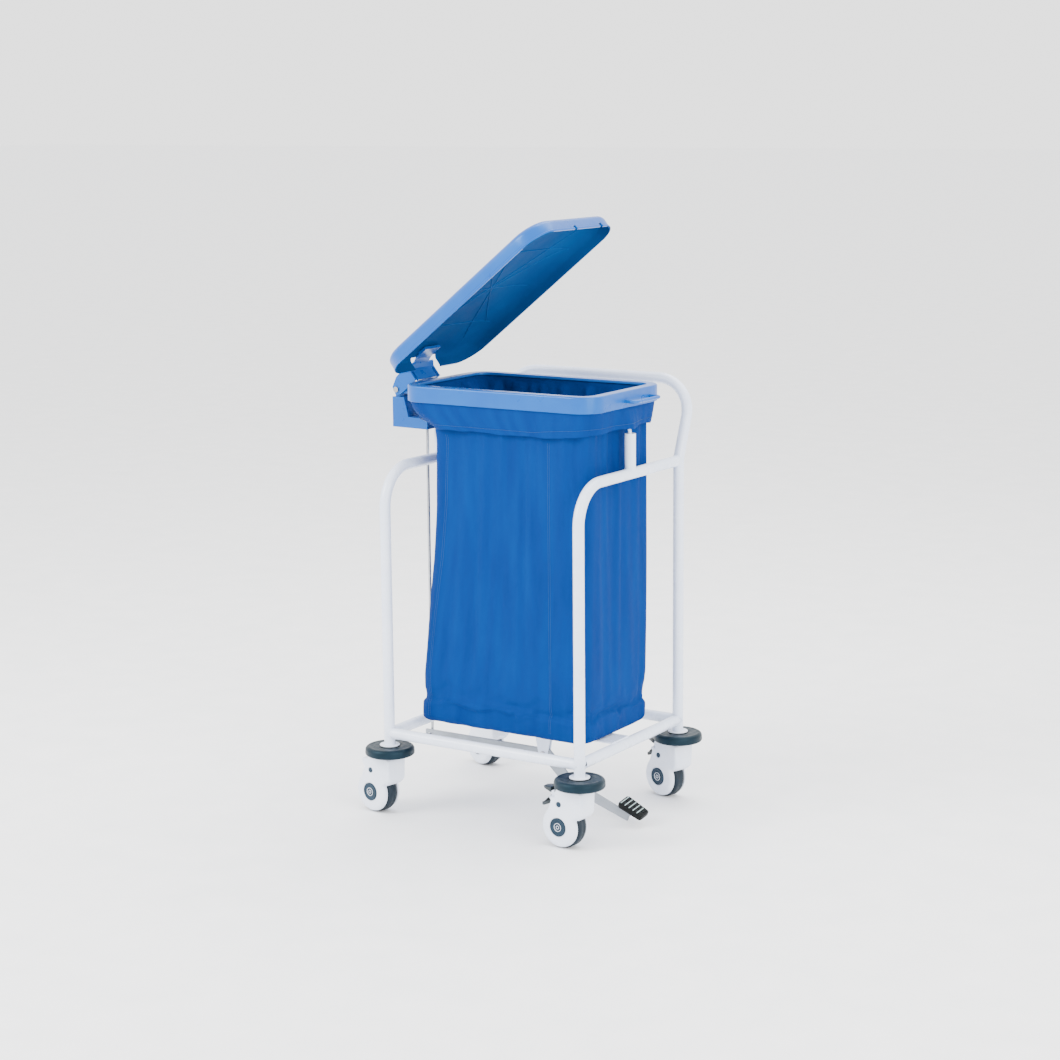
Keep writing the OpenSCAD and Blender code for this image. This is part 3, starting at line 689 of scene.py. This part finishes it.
# the shroud's edges round off by this much more below the first height, by nothing above the second
CHEEK_DOME = 7
CHEEK_DOME_Z = (72, 100)
HEAD_Z = 136
SHROUD_Y = 27.5
SHROUD_EDGE = 3.8
CAP_R = 20.5
# round buttons on the head's two sides
BUTTON_R = 6.2
BUTTON_X = -38
BUTTON_Z = 102
BUMPER_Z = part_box("front_left_bumper")[0].z / MM
BUMPER_H = size("front_left_bumper").z
BUMPER_R = size("front_left_bumper").x / 2


def caster_place(corner):
    """Local frame of a caster: swivel axis at X = Y = 0, wheel trailing towards -X"""
    swivel = about(corner + "_bumper")
    wheel = about(corner + "_axle")
    away = math.atan2(swivel.y - wheel.y, swivel.x - wheel.x)
    return HOME @ Matrix.Translation((swivel.x, swivel.y, 0)) @ Matrix.Rotation(away, 4, "Z")


def y_disc(radius, length, x=-TRAIL, y=0, z=HUB_Z, edge=0.0):
    """A disc with its axis along Y, centred on a point"""
    half = length / 2
    profile = [(0.5, -half), (radius - edge, -half), (radius, -half + edge), (radius, half - edge),
               (radius - edge, half), (0.5, half)]
    if not edge:
        profile = [(0.5, -half), (radius, -half), (radius, half), (0.5, half)]
    return shifted(turned(lathe(profile), "X", 90), (x, y, z))


def shroud_outline():
    head = outline([(-60, 108, 0), (-66.5, 117, 4), (-66.5, 127, 4), (-49, 129, 4), (-44, HEAD_Z, 4),
                    (22, HEAD_Z, 6), (22, 83, 9), (10.5, 70, 6)])
    cheek = arc((-TRAIL, HUB_Z), CHEEK_R, 22, -228, 72)
    return head + cheek


def add_shroud(corner, braked):
    place = caster_place(corner)
    shell = slab(shroud_outline(), SHROUD_Y, SHROUD_EDGE, 8, CHEEK_DOME, CHEEK_DOME_Z)
    body = make(corner + "_caster_shroud", shell, "white_plastic", place)
    room = WHEEL_R + 3
    slot_half = TYRE_HALF + 1.5
    tools = [y_disc(room, 2 * slot_half),
             block(-TRAIL - room, -TRAIL + room, -slot_half, slot_half, -20, HUB_Z),
             y_disc(CAP_R + 1.4, 4, y=SHROUD_Y), y_disc(CAP_R + 1.4, 4, y=-SHROUD_Y),
             y_disc(6, 90),
             y_disc(BUTTON_R + 1.2, 2, BUTTON_X, SHROUD_Y, BUTTON_Z),
             y_disc(BUTTON_R + 1.2, 2, BUTTON_X, -SHROUD_Y, BUTTON_Z)]
    # room for the brake lever's arm, and for its blade on both sides
    if braked:
        tools += [block(-72, -48, -8.5, 8.5, 87, 150), block(-90, -48, 14, 44, 116, 150),
                  block(-90, -48, -44, -14, 116, 150)]
    carved(body, *[make("tool", tool, "white_plastic", place) for tool in tools])
    settle(body, corner + "_swivel", "white_plastic", corner + "_shroud")
    discs = [y_disc(BUTTON_R, 2.4, BUTTON_X, s * (SHROUD_Y - 0.9), BUTTON_Z, 0.6) for s in (-1, 1)]
    piece = make(corner + "_shroud_buttons", joined(*discs), "cap_grey", place)
    settle(piece, corner + "_swivel", "cap_grey")


def add_hub_caps(corner):
    """Shallow dished caps with plain raised rings"""
    place = caster_place(corner)
    face = 3.2
    profile = [(0.5, 0), (CAP_R, 0), (CAP_R, face - 0.8), (CAP_R - 0.8, face), (CAP_R - 2.4, face),
               (CAP_R - 3.2, face - 0.9), (11.5, face - 1.3), (10.8, face - 0.6), (9.6, face - 0.6),
               (8.9, face - 1.4), (5.5, face - 1.5), (4.9, face - 0.7), (0.5, face - 0.5)]
    cap = turned(lathe(profile), "X", 90)
    near = shifted(cap, (-TRAIL, -SHROUD_Y + 1.4, HUB_Z))
    far = shifted(turned(cap, "Z", 180), (-TRAIL, SHROUD_Y - 1.4, HUB_Z))
    piece = make(corner + "_cap_discs", joined(near, far), "cap_grey", place)
    settle(piece, corner + "_swivel", "cap_grey", corner + "_hub_caps")
    # thin light rings set into the caps
    rings = []
    for side in (-1, 1):
        for radius in (9.0, 3.6):
            path = [(-TRAIL + x, side * (SHROUD_Y + 1.2), HUB_Z + z)
                    for x, z in arc((0, 0), radius, 0, 352.5, 48)]
            rings.append(tube(path, 0.55, 8, closed=True))
    piece = make(corner + "_cap_rings", joined(*rings), "white_plastic", place)
    settle(piece, corner + "_swivel", "white_plastic")


def add_wheel(corner):
    """Tyre with round shoulders and a fine groove round its middle"""
    place = caster_place(corner)
    half = TYRE_HALF
    shoulder = 9
    profile = [(CORE_R, -half)]
    for side in (-1, 1):
        turn = arc((WHEEL_R - shoulder, 0), shoulder, -90, 0, 9)
        edge = [(r, side * (half - shoulder + abs(z))) for r, z in turn]
        profile += edge if side < 0 else edge[::-1]
        if side < 0:
            profile += [(WHEEL_R, -1.2), (WHEEL_R - 0.25, 0), (WHEEL_R, 1.2)]
    profile += [(CORE_R, half)]
    shape = shifted(turned(lathe(profile, hole=True, segments=128), "X", 90), (-TRAIL, 0, HUB_Z))
    piece = make(corner + "_tyre_tread", shape, "tyre_rubber", place, 50)
    settle(piece, corner + "_wheel", "tyre_rubber", corner + "_tyre")


def add_bumper(corner):
    """Rubber disc with a rounded edge and a shallow recess round the leg's collar"""
    place = caster_place(corner)
    foot = BUMPER_Z
    head = BUMPER_Z + BUMPER_H
    profile = ([(8, foot), (40, foot), (BUMPER_R - 5, foot + 1)]
               + arc((BUMPER_R - 5, foot + 6), 5, -90, 0, 7)
               + [(BUMPER_R - 0.4, head - 10)]
               + arc((BUMPER_R - 9, head - 9), 8.6, 0, 90, 9)
               + [(BUMPER_R - 11, head - 0.9), (BUMPER_R - 14, head - 1.2), (36, head - 0.6),
                  (29, head - 0.4), (25.5, head - 1.2), (24, head - 2.4), (8, head - 2.4)])
    shape = lathe(profile, hole=True, segments=128)
    piece = make(corner + "_bumper_disc", shape, "bumper_rubber", place, 50)
    settle(piece, "frame", "bumper_rubber", corner + "_bumper")


def add_brake(corner):
    """Arm with a release tab, and the blade that a foot presses"""
    place = caster_place(corner)
    arm = outline([(-67.5, 127, 1.5), (-60, 133, 1.5), (-51.8, 133, 1), (-51.8, 108, 1), (-54, 101, 3),
                   (-62, 99, 6), (-94, 86, 1), (-98, 87, 1), (-98, 93, 1), (-95, 94.5, 0.5),
                   (-64, 106, 3), (-60, 110, 2), (-60, 119, 1), (-67.5, 122, 1)])
    half_blade = [(-93.5, 6.5), (-88, 12), (-71, 15), (-68, 15)]
    blade = [(-93.5, -6.5)] + half_blade + [(x, -y) for x, y in half_blade[:0:-1]]
    root = -67
    lower = [(x, y, 122 + (root - x) * 0.27) for x, y in blade]
    upper = [(x, y, 133 - (root - x) * 0.08) for x, y in blade]
    ridge = [(x * 0.94 + root * 0.06, y * 0.82, z + 1.2) for x, y, z in upper]
    shape = joined(slab(arm, 7.4, 1, 2), loft([lower, upper, ridge]))
    piece = make(corner + "_brake_blade", shape, "brake_grey", place)
    settle(piece, corner + "_brake", "brake_grey", corner + "_brake_lever")


# ---------- pedal ----------
PAD_MID = Vector((267, -8, 36.6))
PAD_SLOPE = 24.7
PAD_TILT = 12
PAD_HALF = 32.5


def pad_place():
    """Local frame of the pad: along the lever, its middle at the origin"""
    return (HOME @ Matrix.Translation(PAD_MID) @ Matrix.Rotation(math.radians(PAD_SLOPE), 4, "Y")
            @ Matrix.Rotation(math.radians(PAD_TILT), 4, "X"))


def add_pad():
    """Rubber pad that narrows towards its far end, with two columns of blocks between pale lines"""
    place = pad_place()
    length = PAD_HALF

    def wide(x):
        return 20.5 - 3.4 * (x + length) / (2 * length)

    def slice_at(z, inset):
        near = wide(-length) - inset
        far = wide(length) - inset
        reach = length - inset
        corners = [(-reach, -near, 6), (reach, -far, 6), (reach, far, 6), (-reach, near, 6)]
        return [(x, y, z) for x, y in outline(corners)]

    # (height, inset) from the underside up to the raised rim and down to the tread's bed
    levels = [(-6, 3.5), (-4.5, 1.5), (-1, 0.4), (4, 0.2), (7.4, 0.5), (9, 2), (9.1, 3.6), (7.8, 4.2)]
    body = loft([slice_at(z, inset) for z, inset in levels])
    rows = 5
    pitch = (2 * length - 10) / rows
    blocks = []
    lines = []
    for row in range(rows):
        x0 = -length + 5 + row * pitch
        for side in (-1, 1):
            reach = wide(x0 + pitch) - 5
            blocks.append(block(x0 + 1.6, x0 + pitch - 0.6, 0.8 if side > 0 else -reach,
                                reach if side > 0 else -0.8, 7, 9))
        reach = wide(x0) - 4.2
        lines.append(block(x0 - 0.5, x0 + 1.4, -reach, reach, 7, 9.3))
    piece = make("pedal_tread", joined(body, *blocks), "pad_rubber", place)
    settle(piece, "pedal", "pad_rubber", "pedal_pad")
    settle(make("pedal_tread_lines", joined(*lines), "pad_line", place), "pedal", "pad_rubber")


# ---------- bag ----------
BAG_FLOOR = 209
CUFF_TOP = 956
CUFF_HEM = 892
# the hem lies this far inside the ring on the left, and this much higher on the right
CUFF_DRAW = 69
HEM_RISE = 12
CLOTH_OFF = RING_R + 1
# height, left, right, half width of the hanging body
BAG_SHAPE = [
    (BAG_FLOOR, -232, 224, 143), (330, -228, 226, 144), (440, -214, 227, 143.5), (600, -190, 227, 143),
    (720, -179, 226, 143), (870, -174, 225, 143), (915, -186, 228, 143), (958, -231, 234, 143),
    (RING_Z, -RING_X + CLOTH_OFF, RING_X - CLOTH_OFF, RING_Y - CLOTH_OFF),
]
GRIP = 0.12
SLACK = 0.02
STRAY = 9
HANG_FRAMES = 18
SEAMS = (-196, 131)
LONG_SIDE = 58
SHORT_SIDE = 30
CORNER_TURN = 9


def bag_loop(x0, x1, half_y, radius):
    """Points and outward directions around a rounded rectangle, always equally many"""
    points = []
    centres = [(x1 - radius, half_y - radius), (x0 + radius, half_y - radius),
               (x0 + radius, -half_y + radius), (x1 - radius, -half_y + radius)]
    sides = [LONG_SIDE, SHORT_SIDE, LONG_SIDE, SHORT_SIDE]
    for index, centre in enumerate(centres):
        centre = Vector(centre)
        for angle in np.radians(np.linspace(90 * index, 90 * index + 90, CORNER_TURN + 1)):
            outward = Vector((math.cos(angle), math.sin(angle)))
            points.append((centre + outward * radius, outward))
        start = points[-1][0]
        after = Vector(centres[(index + 1) % 4]) + outward * radius
        for share in np.linspace(0, 1, sides[index] + 1)[1:-1]:
            points.append((start.lerp(after, share), outward))
    return points


def ripple(point, z, reach, scale, drop=1.2, seed=0.0):
    """A smooth bulge, -reach to reach, in folds that run mostly up and down"""
    spot = Vector((point.x * scale, point.y * scale, z * MM * drop + seed))
    return reach * 1.7 * noise.noise(spot)


def bag_rows():
    """Rings of the sheet from the hem of the cuff, over the ring and down to the bottom"""
    rows = []
    cuff_off = CLOTH_OFF + 0.4
    for share in np.linspace(1, 0, 10):
        x0 = -RING_X - cuff_off + CUFF_DRAW * share ** 2
        x1 = RING_X + cuff_off - share * 8
        half_y = RING_Y + cuff_off - 5.0 * share
        ring = []
        for p, n in bag_loop(x0, x1, half_y, RING_BEND + cuff_off):
            right_side = float(np.interp(p.x, (170, 235), (0, 1)))
            z = CUFF_TOP - share * (CUFF_TOP - CUFF_HEM - HEM_RISE * right_side)
            swell = ripple(p, z, 3.2 * share, 0.022, 4.0) + ripple(p, z, 1.0 * share, 0.06, 9.0)
            # the hem stands out over the ring post
            swell += right_side * share * 27 * math.exp(-(p.y / 48) ** 2)
            wave = ripple(p, 0, 2.5 * share, 0.02, seed=7.3)
            ring.append((p.x + n.x * swell, p.y + n.y * swell, z + wave))
        rows.append(ring)
    for z in (963, RING_Z - 4):
        rows.append([(p.x, p.y, z) for p, n in bag_loop(-RING_X - CLOTH_OFF, RING_X + CLOTH_OFF,
                                                         RING_Y + CLOTH_OFF, RING_BEND + CLOTH_OFF)])
    for angle in np.linspace(0, math.pi, 8):
        off = CLOTH_OFF * math.cos(angle)
        z = RING_Z + CLOTH_OFF * math.sin(angle)
        rows.append([(p.x, p.y, z) for p, n in bag_loop(-RING_X - off, RING_X + off,
                                                         RING_Y + off, RING_BEND + off)])
    heights, lefts, rights, halves = (list(column) for column in zip(*BAG_SHAPE))
    corner = RING_BEND - CLOTH_OFF
    for z in np.linspace(RING_Z - 5, BAG_FLOOR + 12, 96):
        x0, x1, half_y = (float(np.interp(z, heights, values)) for values in (lefts, rights, halves))
        gather = math.exp(-((RING_Z - 34 - z) / 30) ** 2) if z < RING_Z - 8 else 0.0
        upper = np.interp(z, (BAG_FLOOR, 420, 760, 890, 950), (4.2, 3.0, 5.0, 6.5, 0.5))
        ring = []
        for p, n in bag_loop(x0, x1, half_y, corner):
            swell = ripple(p, z, upper, 0.016, 1.6) + ripple(p, z, upper * 0.35, 0.04, 3.5, 3.1)
            swell += ripple(p, z, 13.0 * gather, 0.06, 3.0, 5.5) - 6.0 * gather
            swell = min(swell, 6.0)
            ring.append((p.x + n.x * swell, p.y + n.y * swell, z))
        rows.append(ring)
    x0, x1, half_y = BAG_SHAPE[0][1:]
    for angle in np.linspace(20, 90, 4):
        inset = 12 * (1 - math.cos(math.radians(angle)))
        drop = 12 * math.sin(math.radians(angle))
        rows.append([(p.x, p.y, BAG_FLOOR + 12 - drop + max(0, ripple(p, 0, 1.5, 0.02)))
                     for p, n in bag_loop(x0 + inset, x1 - inset, half_y - inset, corner - inset * 0.6)])
    # the bottom closes onto its middle line
    edge = rows[-1]
    middle_x = (x0 + x1) / 2
    line = (x1 - x0) / 2 - half_y
    for share in np.linspace(0.94, 0, 14):
        ring = []
        for x, y, z in edge:
            rest_x = middle_x + min(max(x - middle_x, -line), line)
            spot = Vector((rest_x + (x - rest_x) * share, y * share))
            ring.append((spot.x, spot.y, BAG_FLOOR + max(0, ripple(spot, 0, 2, 0.02))))
        rows.append(ring)
    return rows


def add_bag():
    """One sheet over the ring, hung by simulation, then given its thickness"""
    rows = bag_rows()
    vertices, faces = loft(rows, caps=False)
    bag = make("hanging_bag", (vertices, faces), "bag_fabric", crease=180)
    lay_thread_grid(bag, rows)
    open_hinge_notch(bag)
    hang(bag)
    thick = bag.modifiers.new("cloth", "SOLIDIFY")
    thick.thickness = 1.3 * MM
    thick.offset = 0
    smooth = bag.modifiers.new("smooth", "SUBSURF")
    smooth.levels = 1
    smooth.render_levels = 1
    applied(bag)
    smoothed(bag, 180)
    settle(bag, "frame", "bag_fabric", "laundry_bag")
    add_stitches(bag)
    columns = zip(*rows)
    length = max(way_along(column) for column in columns)


def way_along(points, closed=False):
    """Length of the way from point to point"""
    spots = [Vector(p) for p in points]
    if closed:
        spots.append(spots[0])
    return sum((b - a).length for a, b in zip(spots, spots[1:]))


def add_stitches(bag):
    """Rows of thread along the two front seams and round the cuff's hem"""
    tree = BVHTree.FromObject(bag, bpy.context.evaluated_depsgraph_get())
    toward_back = Vector((0, 1, 0))
    rays = []
    for x in SEAMS:
        for pair in (-2.2, 2.2):
            rays.append([(Vector((x + pair + seam_lean(x, z), -260, z)), toward_back)
                         for z in np.arange(CUFF_HEM - 12, BAG_FLOOR + 14, -4.2)])
    hem = []
    for angle in np.radians(np.arange(-140, 140, 0.55)):
        out = Vector((math.cos(angle), math.sin(angle), 0))
        right_side = float(np.interp(out.x, (0.55, 0.85), (0, 1)))
        hem.append((out * 420 + Vector((0, 0, CUFF_HEM + 11 + HEM_RISE * right_side)), -out))
    rays.append(hem)
    stitches = []
    for line in rays:
        spots = []
        for origin, aim in line:
            hit = tree.ray_cast(HOME @ origin, aim)
            if hit[0] is not None:
                spots.append((hit[0] - CENTRE) / MM + hit[1] * 0.15)
        for start, end in zip(spots, spots[1:]):
            if (end - start).length < 9:
                stitches.append(tube([start.lerp(end, 0.14), start.lerp(end, 0.86)], 0.42, 6))
    piece = make("bag_stitches", joined(*stitches), "stitching")
    settle(piece, "frame", "bag_fabric")


def seam_lean(x, z):
    """The seam beside the left edge leans in with it"""
    return left_edge(z) - BAG_SHAPE[0][1] if x < 0 else 0.0


def left_edge(z):
    """X of the hanging body's left side at a height"""
    return float(np.interp(z, [row[0] for row in BAG_SHAPE], [row[1] for row in BAG_SHAPE]))


def hang(bag):
    """Cloth simulation: the clamped top is held fast, the rest hangs with a little slack"""
    start = np.array([v.co for v in bag.data.vertices])
    held = bag.vertex_groups.new(name="held")
    for vertex in bag.data.vertices:
        z = vertex.co.z / MM
        weight = float(np.interp(z, (BAG_FLOOR + 12, BAG_FLOOR + 60, 900, 955), (1, GRIP, GRIP, 1)))
        held.add([vertex.index], weight, "REPLACE")
    cloth = bag.modifiers.new("hang", "CLOTH")
    cloth.settings.quality = 4
    cloth.settings.mass = 0.2
    cloth.settings.tension_stiffness = 12
    cloth.settings.compression_stiffness = 12
    cloth.settings.shear_stiffness = 4
    cloth.settings.bending_stiffness = 0.35
    cloth.settings.vertex_group_mass = held.name
    cloth.settings.pin_stiffness = 0.8
    cuff = bag.vertex_groups.new(name="cuff")
    for vertex in bag.data.vertices:
        spot = (vertex.co - CENTRE) / MM
        if spot.z > CUFF_HEM - 12 and max(abs(spot.y) / RING_Y, abs(spot.x) / RING_X) > 1.0:
            cuff.add([vertex.index], 1.0, "REPLACE")
    cloth.settings.vertex_group_shrink = cuff.name
    cloth.settings.shrink_min = -SLACK
    cloth.settings.shrink_max = -SLACK / 6
    cloth.collision_settings.use_collision = False
    cloth.point_cache.frame_end = HANG_FRAMES
    for step in range(1, HANG_FRAMES + 1):
        bpy.context.scene.frame_set(step)
    applied(bag)
    bpy.context.scene.frame_set(1)
    # no point strays far from the space that the solid bag holds
    now = np.array([v.co for v in bag.data.vertices])
    move = now - start
    far = np.linalg.norm(move, axis=1, keepdims=True)
    now = start + move * np.minimum(1, STRAY * MM / np.maximum(far, 1e-9))
    bag.data.vertices.foreach_set("co", now.ravel())
    bag.data.update()


def lay_thread_grid(bag, rows):
    """UVs in metres along the sheet, so that threads keep their pitch"""
    count = len(rows[0])
    ring = rows[12]
    across = [0.0]
    for k in range(count):
        across.append(across[-1] + (Vector(ring[(k + 1) % count]) - Vector(ring[k])).length * MM)
    down = [0.0]
    for i in range(1, len(rows)):
        down.append(down[-1] + (Vector(rows[i][0]) - Vector(rows[i - 1][0])).length * MM)
    layer = bag.data.uv_layers.new(name="threads")
    for face in bag.data.polygons:
        ids = [bag.data.loops[k].vertex_index for k in face.loop_indices]
        columns = [i % count for i in ids]
        wraps = max(columns) - min(columns) > count // 2
        for k, i, column in zip(face.loop_indices, ids, columns):
            if wraps and column == 0:
                column = count
            layer.data[k].uv = (across[column], down[i // count])


def open_hinge_notch(bag):
    """The cuff is cut away where the hinge bracket and the left ring post pass through it"""
    work = bmesh.new()
    work.from_mesh(bag.data)
    gone = []
    for face in work.faces:
        spot = (face.calc_center_median() - CENTRE) / MM
        outside = spot.x < -150 and abs(spot.y) < HINGE_Y + 2
        if outside and face.normal.x < 0 and CUFF_HEM - 8 < spot.z < 955 and on_cuff(spot):
            gone.append(face)
    bmesh.ops.delete(work, geom=gone, context="FACES")
    bmesh.ops.remove_doubles(work, verts=work.verts, dist=0.3 * MM)
    work.to_mesh(bag.data)
    work.free()


def on_cuff(spot):
    """True on the cuff's left side, which lies outside the hanging body"""
    share = (CUFF_TOP - spot.z) / (CUFF_TOP - CUFF_HEM)
    cuff_x = -RING_X - CLOTH_OFF + CUFF_DRAW * share ** 2
    return abs(spot.x - cuff_x) < abs(spot.x - left_edge(spot.z))


# ---------- everything together ----------
def finish_cad_nodes():
    """Every CAD node that stays takes the finish of its slot"""
    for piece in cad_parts.values():
        for slot in piece.material_slots:
            key = slot.material.name.split(".")[0] if slot.material else ""
            slot.link = "OBJECT"
            slot.material = LOOKS.get(key, LOOKS["bare_steel"])


add_camera()
LOOKS = make_materials()
add_studio()
finish_cad_nodes()
add_frame()
add_rim()
add_lid()
for corner_name in CORNERS:
    add_shroud(corner_name, corner_name.endswith("right"))
    add_hub_caps(corner_name)
    add_wheel(corner_name)
    add_bumper(corner_name)
    if corner_name.endswith("right"):
        add_brake(corner_name)
add_pad()
add_bag()
